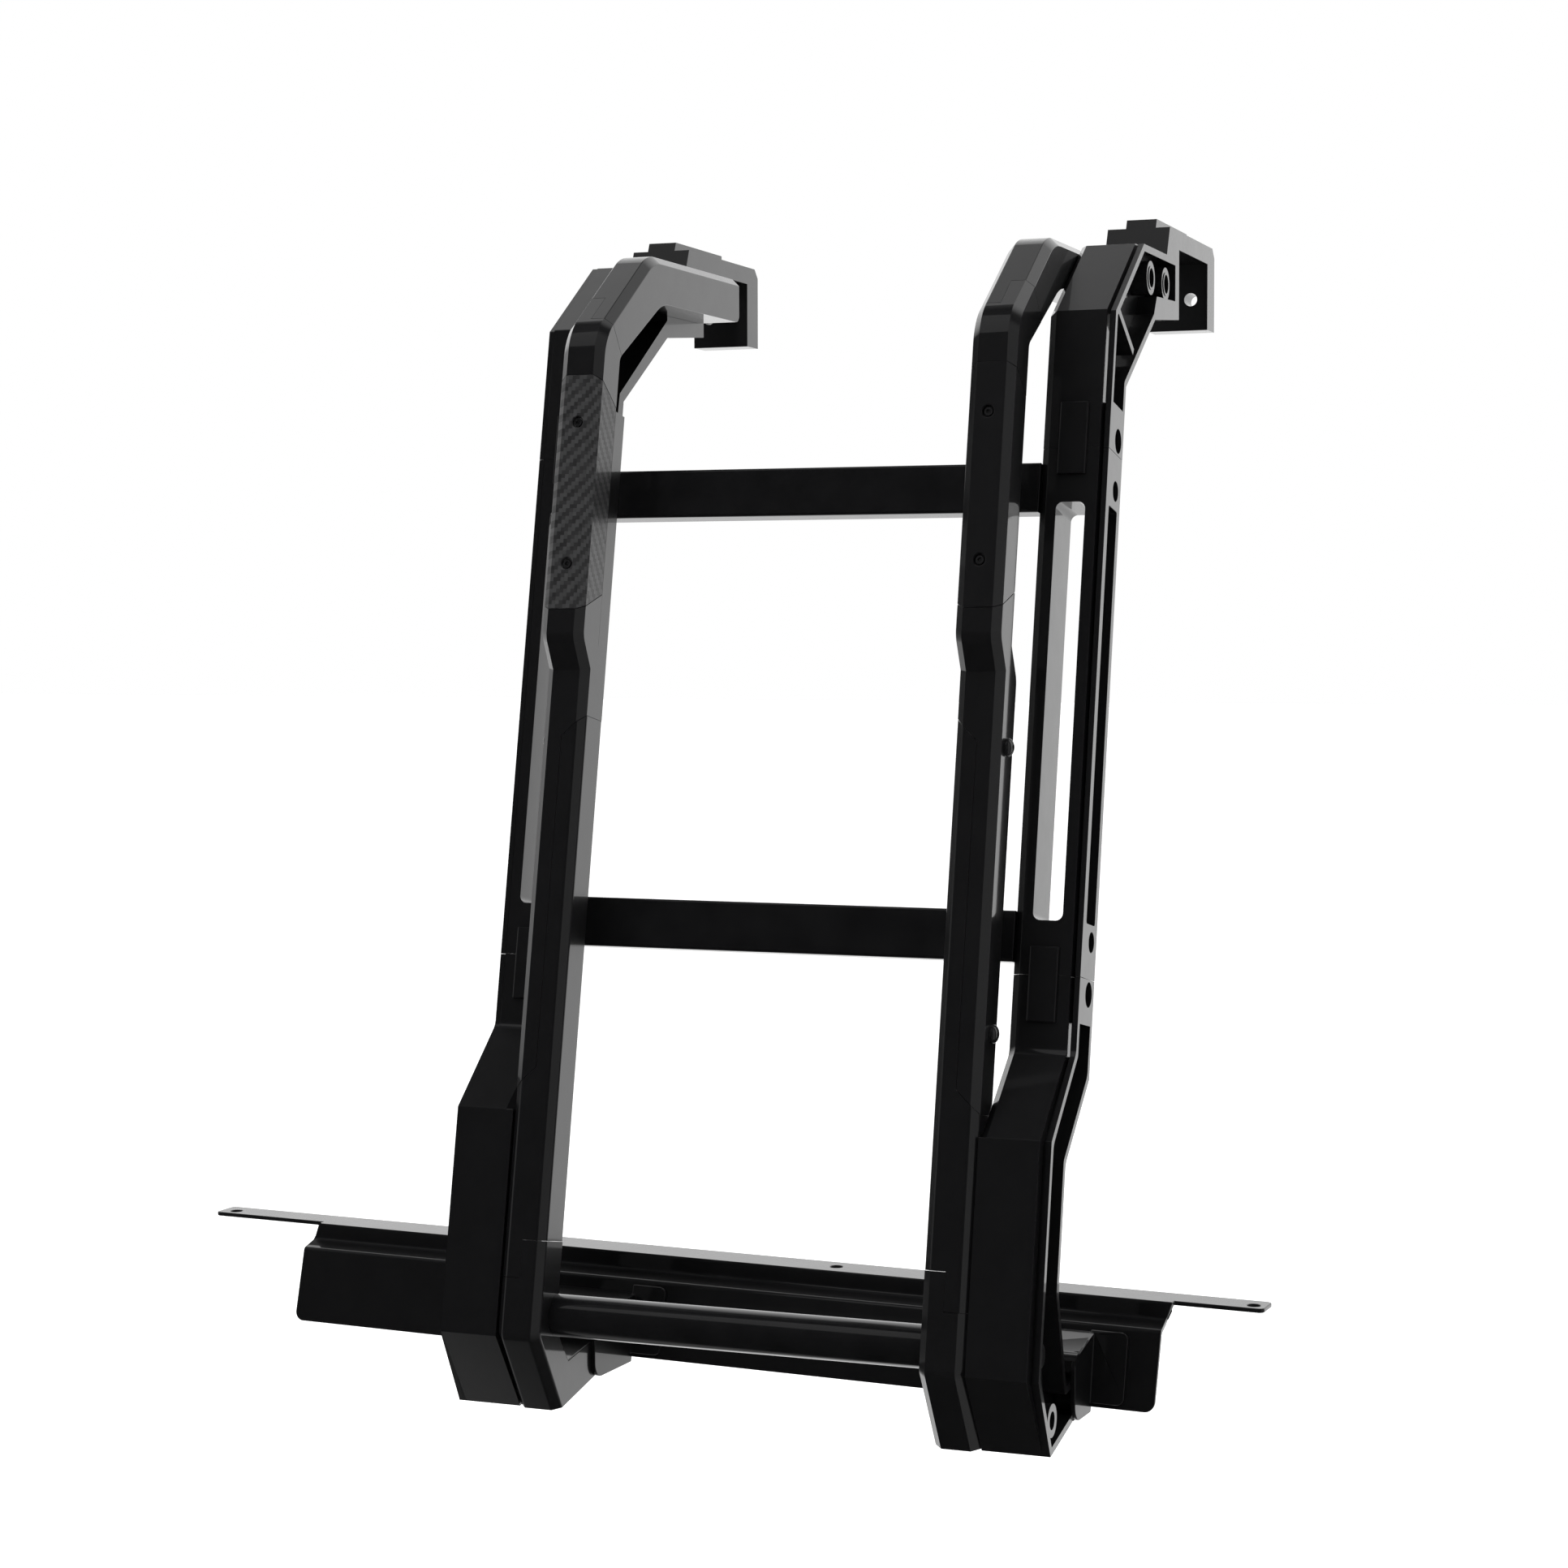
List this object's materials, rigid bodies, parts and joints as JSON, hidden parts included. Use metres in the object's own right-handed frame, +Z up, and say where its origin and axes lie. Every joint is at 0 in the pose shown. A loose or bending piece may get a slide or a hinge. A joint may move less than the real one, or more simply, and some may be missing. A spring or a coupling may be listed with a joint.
{
  "type": "roof rack side ladder",
  "caption": "Leaning side ladder with paired rails and rungs, hooks that drop over a roof rack's side rail and a bent bracket that bolts to the vehicle's body below.",
  "frame": {"origin": "on the lower face of the body bracket's flange, in the middle plane of the ladder's rungs", "axes": "+X along the rungs, +Y towards the vehicle, +Z up"},
  "size_m": [0.8312, 0.5, 0.8298],
  "materials": {
    "cast_black": "gloss black clear-coated casting",
    "rail_black": "gloss black clear-coated extrusion",
    "rung_black": "gloss black clear-coated bar and tube",
    "sheet_black": "gloss black coated bent sheet",
    "carbon_weave": "carbon twill under a gloss clear coat"
  },
  "bodies": {
    "root": {"left_inner_foot": "cast_black", "right_inner_foot": "cast_black", "left_inner_lower_rail": "rail_black", "right_inner_lower_rail": "rail_black", "left_inner_upper_rail": "rail_black", "right_inner_upper_rail": "rail_black", "left_grip_panel": "carbon_weave", "right_grip_panel": "carbon_weave", "left_inner_bend": "rail_black", "right_inner_bend": "rail_black", "left_inner_arm": "rail_black", "right_inner_arm": "rail_black", "left_outer_mid_rail": "cast_black", "right_outer_mid_rail": "cast_black", "left_outer_lower_leg": "cast_black", "right_outer_lower_leg": "cast_black", "left_roof_arm": "cast_black", "right_roof_arm": "cast_black", "left_rack_hook": "cast_black", "right_rack_hook": "cast_black", "left_upper_splice_tab": "cast_black", "right_upper_splice_tab": "cast_black", "left_lower_splice_tab": "cast_black", "right_lower_splice_tab": "cast_black", "left_bracket_hood": "sheet_black", "right_bracket_hood": "sheet_black", "lower_rung": "rung_black", "upper_rung": "rung_black", "foot_tube": "rung_black", "body_bracket": "sheet_black"}
  },
  "joints": []
}
